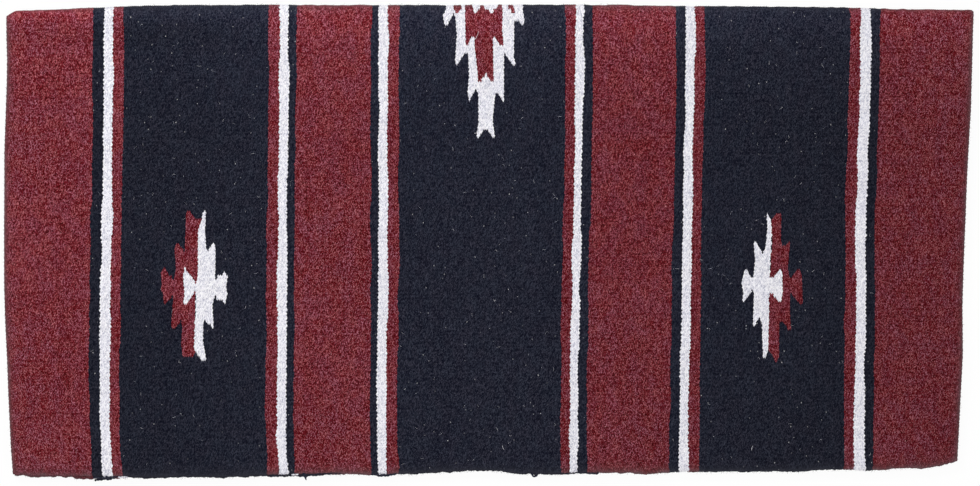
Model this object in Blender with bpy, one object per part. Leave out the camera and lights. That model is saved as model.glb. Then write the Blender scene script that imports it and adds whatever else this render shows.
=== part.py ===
"""Flat-woven saddle blanket, folded once and lying on the ground.

Metres, +Z up.  X runs across the stripes, +Y points at the fold and the free selvages lie towards -Y.
The under leaf rests on the ground, and the upper leaf opens about the fold.  A leaf is a row of weft
bands beaten down over one long warp cord, which runs to and fro inside them, with stepped stars and half
a lozenge inlaid.  The turn of the cloth at the fold is a quarter ring on each leaf, round a cord of its own.
"""
import math

import bmesh
import bpy

# Yarn and cloth.
WIDTH = 0.9143              # across the stripes at the fold
WEFT_SKIN = 0.0024          # weft over, or under, the warp
WARP_CORD = 0.002           # thickness of the warp cord
WARP_PITCH = 0.00375        # from one pass of the warp to the next
WARP_TURN = 0.0013          # how far the warp bows out where it turns back
CARRIED_YARN = 0.0024       # black yarn carried along the selvage past the other colours
END_WRAP = 0.003            # weft beyond the turns of the warp
CLEARANCE = 0.0003          # gap between pieces that touch in the cloth
LEAF_GAP = 0.0006           # air between the leaves

# Leaves, measured from the fold's axis to the selvage.
DEPTH_LEFT = 0.4365
DEPTH_RIGHT = 0.4310
UNDER_PEEK = 0.0020         # how far the under leaf shows past the upper one at its left end
LEAN = 0.0043               # how far the stripes lean to the left on their way to the selvage
LEFT_DRAW = 0.011           # how far the left end is drawn in at the selvage
RIGHT_DRAW = 0.011
LEFT_DRAW_POWER = 3.0
RIGHT_DRAW_POWER = 1.5
DRAW_FADE_POWER = 8         # the drawing-in fades this fast towards the middle stripes

# Motifs.
STAR_HALF_HEIGHT = 0.0719
STAR_HALF_WIDTH = 0.0331
STAR_FROM_FOLD = 0.2581     # from the fold's axis to the middle of a star
STAR_OFF_CENTRE = 0.0036    # from the middle of the black field to the star's seam, towards the blanket's middle
LOZENGE_HALF_WIDTH = 0.037
LOZENGE_LENGTH = 0.1173     # from the fold's axis to the tips of its tail
STAR_WEB_LENGTH = 0.012     # weft that ties a star's face to its back between two passes of the warp

# Upper half of each outline from its axis round to its axis again, as shares of the half width and height.
STAR_WHITE_SHARES = (
    (-0.371, 0), (-0.357, 0.237), (-0.043, 0.079), (0, 0.105), (0, 0.868), (0.229, 1), (0.286, 0.474),
    (0.514, 0.592), (0.529, 0.099), (0.8, 0.224), (0.843, 0),
)
STAR_RED_SHARES = (
    (0.029, 0), (0.029, 0.816), (-0.286, 0.961), (-0.371, 0.474), (-0.629, 0.592), (-0.686, 0.105),
    (-0.943, 0.224), (-1, 0),
)
# Right half of each outline from the fold down to the axis, as shares of the half width and the length.
LOZENGE_WHITE_SHARES = (
    (1, 0), (0.986, 0.105), (0.797, 0.045), (0.757, 0.42), (0.514, 0.314), (0.459, 0.702), (0.23, 0.616),
    (0.216, 1), (0, 0.91),
)
LOZENGE_RED_SHARES = ((0.508, 0), (0.459, 0.275), (0.238, 0.165), (0.216, 0.561), (0, 0.497))
WHITE_WEB_SHARE = 0.26      # middle of the web of a star's white half, as a share of the star's half width
RED_WEB_SHARE = -0.69

# Name, colour and picks of each band from the left end to the right.  Bands of one name are one yarn.
BANDS = (
    ("end_field_left", "red", 52),
    ("black_weft_left", "black", 6),
    ("white_stripe_left_outer", "white", 6),
    ("red_stripe_left_outer", "red", 7),
    ("black_weft_left", "black", 87),
    ("red_stripe_left_inner", "red", 7),
    ("white_stripe_left_inner", "white", 5),
    ("black_weft_left", "black", 5),
    ("inner_field_left", "red", 45),
    ("black_weft_centre", "black", 5),
    ("white_stripe_centre_left", "white", 5),
    ("red_stripe_centre_left", "red", 7),
    ("black_weft_centre", "black", 99),
    ("red_stripe_centre_right", "red", 7),
    ("white_stripe_centre_right", "white", 5),
    ("black_weft_centre", "black", 6),
    ("inner_field_right", "red", 50),
    ("black_weft_right", "black", 6),
    ("white_stripe_right_inner", "white", 5),
    ("red_stripe_right_inner", "red", 6),
    ("black_weft_right", "black", 87),
    ("red_stripe_right_outer", "red", 6),
    ("white_stripe_right_outer", "white", 6),
    ("black_weft_right", "black", 6),
    ("end_field_right", "red", 56),
)

# Linear colour and roughness of each yarn.
YARNS = {
    "red": ((0.165, 0.028, 0.04, 1), 0.95),
    "black": ((0.016, 0.018, 0.027, 1), 0.95),
    "white": ((0.76, 0.755, 0.81, 1), 0.95),
    "cotton": ((0.62, 0.57, 0.48, 1), 0.9),
    "mixed": ((0.09, 0.022, 0.033, 1), 0.95),
}

EDGE_STEPS = 2              # straight runs along a seam between bands
END_STEPS = 6               # and along an end of the blanket
FOLD_STEPS = 6              # facets of a quarter turn
MITRE_LIMIT = 6             # a sharp corner moves no further than this many times its edges

# Derived sizes.
PICK = WIDTH / sum(picks for _, _, picks in BANDS)
WELD = CLEARANCE / 100
CHANNEL = WARP_CORD + 2 * CLEARANCE
LEAF = 2 * WEFT_SKIN + CHANNEL
LEAF_MIDDLE = (LEAF_GAP + LEAF) / 2
AXIS_HEIGHT = LEAF + LEAF_GAP / 2
FOLD_INNER = (LEAF_GAP - CLEARANCE) / 2
FOLD_OUTER = FOLD_INNER + LEAF
FOLD_MIDDLE = (FOLD_INNER + FOLD_OUTER) / 2
SELVAGE_ROW = CARRIED_YARN + 2 * CLEARANCE
SELVAGE_CLOSED = SELVAGE_ROW + WEFT_SKIN
WEB = WARP_PITCH - WARP_CORD - 3 * CLEARANCE
LEAVES = {
    "upper": (1, DEPTH_LEFT, DEPTH_RIGHT),
    "under": (-1, DEPTH_LEFT + UNDER_PEEK, DEPTH_RIGHT),
}


def lerp(a, b, share):
    return a + (b - a) * share


def depth(leaf, u):
    """Distance from the fold's axis to the selvage at u across the flat cloth."""
    _, left, right = LEAVES[leaf]
    return lerp(left, right, (u + WIDTH / 2) / WIDTH)


def plan(leaf, u, distance):
    """Place in the leaf's plane, from the fold's axis, of the point u across and distance from the fold."""
    share = distance / depth(leaf, u)
    fade = abs(2 * u / WIDTH) ** DRAW_FADE_POWER
    draw = LEFT_DRAW * share ** LEFT_DRAW_POWER if u < 0 else -RIGHT_DRAW * share ** RIGHT_DRAW_POWER
    return u - LEAN * share + draw * fade, -distance


def seam(leaf, u, start, end):
    """Points along a line of constant u, from start to end in distance from the fold."""
    steps = END_STEPS if abs(u) > WIDTH / 2 - 2 * END_WRAP else EDGE_STEPS
    return [plan(leaf, u, lerp(start, end, i / steps)) for i in range(steps + 1)]


def spans():
    """(name, colour, left, right) of each band across the flat cloth."""
    left = -WIDTH / 2
    for name, colour, picks in BANDS:
        yield name, colour, left, left + picks * PICK
        left += picks * PICK


def band_outline(leaf, left, right, short):
    """Outline of a band, with half a clearance at each seam, ending short of the selvage."""
    left += CLEARANCE / 2 if left > -WIDTH / 2 + PICK else 0
    right -= CLEARANCE / 2 if right < WIDTH / 2 - PICK else 0
    down = seam(leaf, left, CLEARANCE, depth(leaf, left) - short)
    up = seam(leaf, right, CLEARANCE, depth(leaf, right) - short)
    return down + up[::-1]


def channel_outline(leaf):
    """The flat space inside the weft that the warp lies in."""
    reach = WIDTH / 2 - END_WRAP
    start = CLEARANCE + WEFT_SKIN
    down = seam(leaf, -reach, start, depth(leaf, -reach) - SELVAGE_CLOSED)
    up = seam(leaf, reach, start, depth(leaf, reach) - SELVAGE_CLOSED)
    return down + up[::-1]


def grown(points, distance):
    """The outline with every edge moved outwards by distance."""
    count = len(points)
    area = sum(points[i - 1][0] * points[i][1] - points[i][0] * points[i - 1][1] for i in range(count))
    turn = 1 if area > 0 else -1
    result = []
    for i in range(count):
        normals = []
        for (ax, ay), (bx, by) in ((points[i - 1], points[i]), (points[i], points[(i + 1) % count])):
            length = math.hypot(bx - ax, by - ay)
            normals.append((turn * (by - ay) / length, -turn * (bx - ax) / length))
        nx, ny = normals[0][0] + normals[1][0], normals[0][1] + normals[1][1]
        size = math.hypot(nx, ny)
        nx, ny = nx / size, ny / size
        along = max(nx * normals[0][0] + ny * normals[0][1], 1 / MITRE_LIMIT)
        result.append((points[i][0] + nx * distance / along, points[i][1] + ny * distance / along))
    return result


def mirrored_star(shares, centre, side):
    """Whole star outline round centre from its upper half; side is -1 for the left star, 1 for the right."""
    half = [(-side * x * STAR_HALF_WIDTH, y * STAR_HALF_HEIGHT) for x, y in shares]
    whole = half + [(x, -y) for x, y in half[-2:0:-1]]
    return [(centre[0] + x, centre[1] + y) for x, y in whole]


def mirrored_lozenge(shares, centre):
    """Whole outline of the half lozenge below the fold from its right half."""
    half = [(x * LOZENGE_HALF_WIDTH, min(-y * LOZENGE_LENGTH, -CLEARANCE / 2)) for x, y in shares]
    whole = half + [(-x, y) for x, y in half[-2::-1]]
    return [(centre + x, y) for x, y in whole]


def yarn_material(name):
    colour, roughness = YARNS[name]
    material = bpy.data.materials.new(name + "_yarn")
    material.use_nodes = True
    material.diffuse_color = colour
    shader = material.node_tree.nodes["Principled BSDF"]
    shader.inputs["Base Color"].default_value = colour
    shader.inputs["Roughness"].default_value = roughness
    shader.inputs["Metallic"].default_value = 0
    return material


def place(obj, leaf, colour):
    """Puts a piece in the blanket's collection, under its leaf's empty."""
    blanket.objects.link(obj)
    obj.parent = pivots[leaf]
    obj.data.materials.append(materials[colour])
    return obj


def place_cutter(obj, leaf):
    cutters.objects.link(obj)
    obj.parent = pivots[leaf]
    obj.hide_render = True
    obj.display_type = "WIRE"
    return obj


def curve_mesh(name, curve):
    """The curve's surface as a mesh, its caps welded on and its faces turned outwards."""
    guide = bpy.data.objects.new(name, curve)
    bpy.context.scene.collection.objects.link(guide)
    graph = bpy.context.evaluated_depsgraph_get()
    mesh = bpy.data.meshes.new_from_object(guide.evaluated_get(graph))
    bpy.data.objects.remove(guide)
    bpy.data.curves.remove(curve)
    shape = bmesh.new()
    shape.from_mesh(mesh)
    bmesh.ops.remove_doubles(shape, verts=shape.verts, dist=WELD)
    bmesh.ops.recalc_face_normals(shape, faces=shape.faces)
    shape.to_mesh(mesh)
    shape.free()
    mesh.name = name
    return mesh


def spline_curve(name, points, closed):
    curve = bpy.data.curves.new(name, "CURVE")
    spline = curve.splines.new("POLY")
    spline.points.add(len(points[1:]))
    for point, place_of in zip(spline.points, points):
        point.co = (*place_of, 1)
    spline.use_cyclic_u = closed
    return curve


def flat_mesh(name, outline, thickness):
    """A flat outline extruded to thickness about its own plane."""
    curve = spline_curve(name, [(x, y, 0) for x, y in outline], True)
    curve.dimensions = "2D"
    curve.fill_mode = "BOTH"
    curve.extrude = thickness / 2
    return curve_mesh(name, curve)


def tube_curve(name, points, diameter, resolution):
    curve = spline_curve(name, points, False)
    curve.dimensions = "3D"
    curve.bevel_depth = diameter / 2
    curve.bevel_resolution = resolution
    curve.use_fill_caps = True
    return curve


def leaf_piece(name, leaf, colour, outline):
    """A piece of the leaf's full thickness."""
    obj = place(bpy.data.objects.new(f"{name}_{leaf}", flat_mesh(name, outline, LEAF)), leaf, colour)
    obj.location.z = LEAVES[leaf][0] * LEAF_MIDDLE
    return obj


def leaf_cutter(name, leaf, outline, thickness):
    obj = place_cutter(bpy.data.objects.new(f"{name}_{leaf}", flat_mesh(name, outline, thickness)), leaf)
    obj.location.z = LEAVES[leaf][0] * LEAF_MIDDLE
    return obj


def boolean(obj, other, operation):
    modifier = obj.modifiers.new(f"{operation.lower()} {other.name}", "BOOLEAN")
    modifier.operation = operation
    modifier.solver = "EXACT"
    modifier.object = other


def carried_yarn(leaf, name, start, end):
    """Black yarn along the selvage from the middle of one black band to the middle of the next."""
    ends = []
    for u in (start, end):
        x, y = plan(leaf, u, depth(leaf, u) - CARRIED_YARN / 2 - CLEARANCE)
        ends.append((x, y, 0))
    mesh = curve_mesh(name, tube_curve(name, ends, CARRIED_YARN, 2))
    obj = place_cutter(bpy.data.objects.new(f"{name}_{leaf}", mesh), leaf)
    obj.location.z = LEAVES[leaf][0] * LEAF_MIDDLE
    return obj


def black_weft(leaf, name, bands, holes):
    """A black field, the strips on its two sides and the yarn carried between them, less its motifs."""
    outer, field, inner = [(left, right) for found, _, left, right in spans() if found == name]
    obj = leaf_piece(name, leaf, "black", band_outline(leaf, *field, 0))
    for label, strip, near, far in (
        ("left_strip", outer, outer[1] - PICK, field[0] + PICK),
        ("right_strip", inner, field[1] - PICK, inner[0] + PICK),
    ):
        boolean(obj, leaf_cutter(f"{name}_{label}", leaf, band_outline(leaf, *strip, 0), LEAF), "UNION")
        boolean(obj, carried_yarn(leaf, f"{name}_{label}_carried", near, far), "UNION")
    boolean(obj, bands, "DIFFERENCE")
    for hole in holes:
        boolean(obj, hole, "DIFFERENCE")
    return obj


def warp_passes(leaf):
    """Share down the leaf of each pass of the warp, from the fold to the selvage."""
    first, last = warp_limits(leaf, 0)
    count = 1 + round((last - first) / WARP_PITCH)
    return [i / (count - 1) for i in range(count)]


def warp_limits(leaf, u):
    first = CLEARANCE + WEFT_SKIN + CLEARANCE + WARP_CORD / 2
    last = depth(leaf, u) - SELVAGE_CLOSED - CLEARANCE - WARP_CORD / 2
    return first, last


def warp_cord(leaf):
    """The warp as one cord: pass after pass across the leaf, with a bowed turn at each end."""
    reach = WIDTH / 2 - END_WRAP - 2 * CLEARANCE - WARP_CORD / 2 - WARP_TURN
    points = []
    for index, share in enumerate(warp_passes(leaf)):
        way = -1 if index % 2 else 1
        ends = [plan(leaf, u, lerp(*warp_limits(leaf, u), share)) for u in (-way * reach, way * reach)]
        if points:
            x, y, _ = points[-1]
            bowed = (x + ends[0][0]) / 2 - way * WARP_TURN
            points.append((bowed, (y + ends[0][1]) / 2, 0))
        points.extend((x, y, 0) for x, y in ends)
    curve = tube_curve("warp_cord", points, WARP_CORD, 0)
    obj = place(bpy.data.objects.new(f"warp_cord_{leaf}", curve), leaf, "cotton")
    obj.location.z = LEAVES[leaf][0] * LEAF_MIDDLE


def star_web(leaf, name, centre, u, share):
    """Weft that ties the face of a star to its back, midway between two passes of the warp."""
    passes = warp_passes(leaf)
    between = [lerp(*warp_limits(leaf, u), (a + b) / 2) for a, b in zip(passes, passes[1:])]
    distance = min(between, key=lambda found: abs(found + centre[1]))
    bpy.ops.mesh.primitive_cube_add(size=1)
    web = bpy.context.object
    web.name = f"{name}_{leaf}"
    bpy.context.collection.objects.unlink(web)
    place_cutter(web, leaf)
    web.scale = (STAR_WEB_LENGTH, WEB, CHANNEL + WEFT_SKIN)
    web.location = (centre[0] + share * STAR_HALF_WIDTH, -distance, LEAVES[leaf][0] * LEAF_MIDDLE)
    return web


def star(leaf, label, side, bands):
    """Both halves of a star and the two cutters that make room for it in its black field."""
    left, right = widest_span(f"black_weft_{label}")
    u = (left + right) / 2 - side * STAR_OFF_CENTRE
    centre = plan(leaf, u, STAR_FROM_FOLD)
    white = mirrored_star(STAR_WHITE_SHARES, centre, side)
    red = mirrored_star(STAR_RED_SHARES, centre, side)
    room = LEAF + 2 * WEFT_SKIN
    white_room = leaf_cutter(f"star_white_room_{label}", leaf, grown(white, CLEARANCE / 2), room)
    red_room = leaf_cutter(f"star_red_room_{label}", leaf, grown(red, CLEARANCE / 2), room)
    white_piece = leaf_piece(f"star_white_{label}", leaf, "white", grown(white, -CLEARANCE / 2))
    red_piece = leaf_piece(f"star_red_{label}", leaf, "red", grown(red, -CLEARANCE / 2))
    boolean(red_piece, white_room, "DIFFERENCE")
    for piece, share in ((white_piece, WHITE_WEB_SHARE), (red_piece, RED_WEB_SHARE)):
        boolean(piece, bands, "DIFFERENCE")
        boolean(piece, star_web(leaf, piece.data.name + "_web", centre, u, -side * share), "UNION")
    return white_room, red_room


def widest_span(name):
    return max(((left, right) for found, _, left, right in spans() if found == name), key=lambda s: s[1] - s[0])


def lozenge(leaf, bands):
    """The half lozenge below the fold: a white outline round a red core."""
    left, right = widest_span("black_weft_centre")
    centre = (left + right) / 2
    white = mirrored_lozenge(LOZENGE_WHITE_SHARES, centre)
    red = mirrored_lozenge(LOZENGE_RED_SHARES, centre)
    room = LEAF + 2 * WEFT_SKIN
    white_room = leaf_cutter("lozenge_room", leaf, grown(white, CLEARANCE / 2), room)
    red_room = leaf_cutter("lozenge_core_room", leaf, grown(red, CLEARANCE / 2), room)
    white_piece = leaf_piece("lozenge_white", leaf, "white", grown(white, -CLEARANCE / 2))
    red_piece = leaf_piece("lozenge_red", leaf, "red", grown(red, -CLEARANCE / 2))
    boolean(white_piece, red_room, "DIFFERENCE")
    for piece in (white_piece, red_piece):
        boolean(piece, bands, "DIFFERENCE")
    return (white_room,)


def fold_turn(leaf):
    """The leaf's quarter of the turn at the fold, with a bore for the one warp pass in it."""
    side = LEAVES[leaf][0]
    outer = []
    for i in range(FOLD_STEPS + 1):
        angle = math.radians(90 * i / FOLD_STEPS)
        outer.append((FOLD_OUTER * math.sin(angle), side * FOLD_OUTER * math.cos(angle)))
    outline = [(0, side * FOLD_INNER), *outer, (FOLD_INNER, 0)]
    mesh = flat_mesh("fold_turn", outline, WIDTH)
    turn = place(bpy.data.objects.new(f"fold_turn_{leaf}", mesh), leaf, "mixed")
    turn.rotation_euler = (math.radians(90), 0, math.radians(90))
    turn.location.z = side * CLEARANCE / 2
    reach = FOLD_MIDDLE * math.sin(math.radians(45))
    middle = (reach, side * (reach + CLEARANCE / 2))
    bore_ends = [(way * WIDTH, 0, 0) for way in (-1, 1)]
    bore_mesh = curve_mesh("fold_bore", tube_curve("fold_bore", bore_ends, CHANNEL, 2))
    bore = place_cutter(bpy.data.objects.new(f"fold_bore_{leaf}", bore_mesh), leaf)
    bore.location = (0, *middle)
    boolean(turn, bore, "DIFFERENCE")
    cord_ends = [(way * (WIDTH / 2 - END_WRAP), 0, 0) for way in (-1, 1)]
    cord = bpy.data.objects.new(f"fold_warp_{leaf}", tube_curve("fold_warp", cord_ends, WARP_CORD, 2))
    place(cord, leaf, "cotton").location = (0, *middle)


def blanket_leaf(leaf):
    bands = leaf_cutter("warp_channel", leaf, channel_outline(leaf), CHANNEL)
    holes = {
        "black_weft_left": star(leaf, "left", -1, bands),
        "black_weft_centre": lozenge(leaf, bands),
        "black_weft_right": star(leaf, "right", 1, bands),
    }
    for name, rooms in holes.items():
        black_weft(leaf, name, bands, rooms)
    for name, colour, left, right in spans():
        if colour == "black":
            continue
        short = SELVAGE_ROW if "stripe" in name else 0
        boolean(leaf_piece(name, leaf, colour, band_outline(leaf, left, right, short)), bands, "DIFFERENCE")
    warp_cord(leaf)
    fold_turn(leaf)


for old in list(bpy.data.objects):
    bpy.data.objects.remove(old)

blanket = bpy.data.collections.new("saddle_blanket")
cutters = bpy.data.collections.new("cutters")
bpy.context.scene.collection.children.link(blanket)
bpy.context.scene.collection.children.link(cutters)
materials = {name: yarn_material(name) for name in YARNS}

# Both leaves hang on empties on the fold's axis, placed so that the blanket's box is centred on the origin.
deepest = max(depth(leaf, -WIDTH / 2) for leaf in LEAVES)
fold_y = (deepest - FOLD_OUTER) / 2
left_most = min(x for leaf in LEAVES for x, _ in seam(leaf, -WIDTH / 2, 0, depth(leaf, -WIDTH / 2)))
pivots = {}
for leaf_name in LEAVES:
    pivot = bpy.data.objects.new(f"{leaf_name}_leaf", None)
    blanket.objects.link(pivot)
    pivot.location = (-(left_most + WIDTH / 2) / 2, fold_y, AXIS_HEIGHT)
    pivots[leaf_name] = pivot

for leaf_name in LEAVES:
    blanket_leaf(leaf_name)
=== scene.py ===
"""Flat-woven wool saddle blanket, folded once and lying on a pale floor.

The cloth is one lattice of weft floats, laid out flat and then folded.  A column of the lattice is one pick
of weft, and a row is half a rib, which is the weft's arch over one pass of the warp.  Each float belongs to
one yarn, so the bands and the inlaid figures have the small steps and scallops that weaving gives them.
"""
import math

import bpy
import numpy as np
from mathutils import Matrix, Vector


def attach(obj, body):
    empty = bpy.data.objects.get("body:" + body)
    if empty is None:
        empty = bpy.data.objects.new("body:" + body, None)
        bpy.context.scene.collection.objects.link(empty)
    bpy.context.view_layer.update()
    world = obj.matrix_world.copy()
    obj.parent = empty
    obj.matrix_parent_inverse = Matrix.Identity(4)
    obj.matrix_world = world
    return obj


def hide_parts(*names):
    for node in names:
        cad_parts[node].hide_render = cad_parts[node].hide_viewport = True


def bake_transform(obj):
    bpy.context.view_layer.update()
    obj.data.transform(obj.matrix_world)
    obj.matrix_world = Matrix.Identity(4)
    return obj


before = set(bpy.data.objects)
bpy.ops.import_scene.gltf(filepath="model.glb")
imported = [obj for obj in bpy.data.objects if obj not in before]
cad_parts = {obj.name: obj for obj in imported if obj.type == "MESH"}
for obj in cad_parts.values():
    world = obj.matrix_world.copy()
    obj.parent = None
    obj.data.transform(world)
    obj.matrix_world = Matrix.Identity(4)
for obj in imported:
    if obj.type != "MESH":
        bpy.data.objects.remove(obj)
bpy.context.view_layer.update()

# Sizes, in metres
WIDTH = 0.9143  # across the stripes, at the fold
PICKS = 970
PICK = WIDTH / PICKS
RIBS = 114  # on each leaf, from the fold's axis to the selvage
TURN_RIBS = 3  # on each quarter of the turn at the fold
LEAF_LENGTH = 0.433  # usual, from the fold's axis to the selvage
DEPTHS = {1: (0.4365, 0.431), -1: (0.4385, 0.431)}  # at the ends; 1 is the upper leaf, -1 the under one
HALF_THICK = 0.0037
MIDDLE_RADIUS = 0.004  # of the cloth's middle where it turns
AXIS_X, AXIS_Y, AXIS_Z = 0.0005, 0.215475, 0.0077
FOLD_REACH = 0.00755  # from the axis to the fold line
FOLD_EASE = 0.0003  # how far the whole fold line falls short of that
LEAST_REACH = 0.0024  # where the fold is pressed flattest
FOLD_FADE = 0.03  # share of the leaf over which the fold line's bow fades
PARTING = 0.00008  # between the leaf's first row and the fold's axis
WORN_CORNERS = ((-1, 0.0075, 0.004), (1, 0.0008, 0.0004))  # end, reach along the fold, drop
SELVAGE_POWER = 7  # how late the selvage's bow sets in
RISE_SHARE = 0.08  # share of the leaf over which its swell sets in

FLOAT_TIP_DIP = 0.00074  # how far a float's ends lie below its top
FLOAT_SIDE_DIP = 0.00036
CREST_SPREAD = 0.00014  # between the tops of floats
FLOAT_TIP_REACH = 0.42  # how far a float's tip reaches past its rib, in rows
TIP_SPREAD = 0.1
WHITE_SCALLOP, RED_SCALLOP = 0.66, 0.38  # how far ribs stand out at a change of yarn, in picks
FIGURE_SCALLOP = 0.5  # share of that at an inlaid figure
NOTCH_REACH = 0.4  # share of a tip's reach that is kept at a change of yarn
EVENING = (1 / 16, 4 / 16, 6 / 16, 4 / 16, 1 / 16)  # weights that even out a stripe's edge over five ribs
STRIPE_FIT = 0.72  # how closely the stripes' edges follow that evened line
FIGURE_FIT = 0.86  # and the figures' edges their outlines
OUTLINE_REACH = 1.9  # for an outline's edge, in mm
FIT_FADE = 4  # columns over which such a shift fades out
LEAST_SPACING = 0.72  # of lattice points there, in picks
EDGE_SOFTNESS = 0.0018  # most that the cloth thins towards its edges
EDGE_BULGE = 0.0009
BULGE_HEIGHT = 0.001  # of the edge's two middle rows from the cloth's middle

CORD = 0.0022  # black yarn carried along the selvage
CORD_STEP, CORD_PITCH = 0.0009, 0.0062
WARP_MARGIN = 0.0035  # from the ends of the blanket to the warp's turns
WARP_RADIUS = 0.001
TURN_WARP_RADIUS = 0.0009
FLOOR_CLEARANCE = 0.00015  # of the stray fibres

# Lean of the stripes in mm: a place across the flat cloth, then the lean at each share of the leaf.
LEAN_SHARES = (0, 0.13, 0.28, 0.44, 0.59, 0.75, 0.88, 0.95, 1)
STRIPE_LEAN = (
    (-361, 0, -0.3, -0.7, -1.3, -2.4, -3.8, -4.3, -2.6, -1.8),
    (-195, 0, -0.2, -1.4, -1.7, -2.4, -3, -3.1, -2.2, -1.2),
    (-99, 0, -0.2, -0.6, -0.7, -0.5, -1.4, -1.8, -1.5, -0.8),
    (85, 0, 0, -1.1, -2.3, -3.7, -4.7, -5.9, -5.8, -5.2),
    (190, 0, -0.1, -1.6, -3.2, -4.6, -5.6, -6, -6.5, -7),
    (356, 0, 0.2, -2.1, -4.6, -4.8, -5.2, -5.8, -6, -5.2),
)
# Lean of the two ends of the blanket by share of the leaf, in mm.
LEFT_END = (
    (0, 0), (0.05, 0), (0.1, 0.6), (0.15, 0.2), (0.22, -0.8), (0.3, -2), (0.45, -2.3), (0.6, -2.1),
    (0.68, -0.9), (0.75, 0.6), (0.82, 1.7), (0.9, 3.4), (0.95, 4.5), (1, 6.2),
)
RIGHT_END = (
    (0, 0), (0.04, -0.7), (0.12, -1.6), (0.21, -2.6), (0.27, -4.2), (0.36, -6.3), (0.43, -7.4), (0.5, -8.7),
    (0.58, -9.9), (0.65, -10.8), (0.75, -10.4), (0.82, -11.8), (0.9, -13.4), (1, -15.6),
)
# How far the fold line falls short of straight, in mm, by place across.
FOLD_BOW = (
    (-457.2, -4.7), (-420, -3.4), (-400, -2.5), (-382, -1.5), (-344, 0.1), (-325, 1), (-249, 1.3),
    (-218, 1.9), (-174, 1.5), (129, 1.5), (152, 0.5), (224, 0.2), (299, -0.6), (339, -1.2), (375, -2.4),
    (413, -3.3), (457.2, -3.5),
)
# How far the selvage hangs below its straight line, in mm, by place across the flat cloth.
SELVAGE_BOW = (
    (-457.2, -1.2), (-443, 0), (-420, 0.3), (-400, 0.9), (-382, 1.6), (-344, 2.2), (-249, 2.6), (-202, 1.2),
    (-155, 0.2), (-126, 0.9), (-98, 1.4), (-70, 1), (-41, -0.7), (-22, -1.5), (-3, -2.4), (16, -0.4),
    (35, 1.7), (72, 1.9), (110, 1.1), (158, 2.3), (192, 0.2), (205, 0.8), (299, 1.3), (318, -0.3),
    (361, 0.6), (382, 0), (402, -1.8), (424, -1), (440, -3.6), (452, -5.8), (457.2, -7.2),
)
# How far the under leaf looks out below the upper one, in mm, by place across.
UNDER_SELVAGE_BOW = ((-398, 0), (-392, 1.6), (-379, 2.1), (-371, 1.4), (-364, 0))

# Name, colour and picks of each band, from the left end to the right
BANDS = (
    ("end_field_left", "red", 86), ("black_weft_left", "black", 11),
    ("white_stripe_left_outer", "white", 10), ("red_stripe_left_outer", "red", 10),
    ("black_weft_left", "black", 146),
    ("red_stripe_left_inner", "red", 11), ("white_stripe_left_inner", "white", 9),
    ("black_weft_left", "black", 8), ("inner_field_left", "red", 75), ("black_weft_centre", "black", 8),
    ("white_stripe_centre_left", "white", 9), ("red_stripe_centre_left", "red", 11),
    ("black_weft_centre", "black", 167), ("red_stripe_centre_right", "red", 10),
    ("white_stripe_centre_right", "white", 8), ("black_weft_centre", "black", 9),
    ("inner_field_right", "red", 84), ("black_weft_right", "black", 10),
    ("white_stripe_right_inner", "white", 9), ("red_stripe_right_inner", "red", 10),
    ("black_weft_right", "black", 145),
    ("red_stripe_right_outer", "red", 11), ("white_stripe_right_outer", "white", 10),
    ("black_weft_right", "black", 10), ("end_field_right", "red", 93),
)
BAND_EDGES = np.cumsum([0] + [picks for _, _, picks in BANDS])

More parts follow.
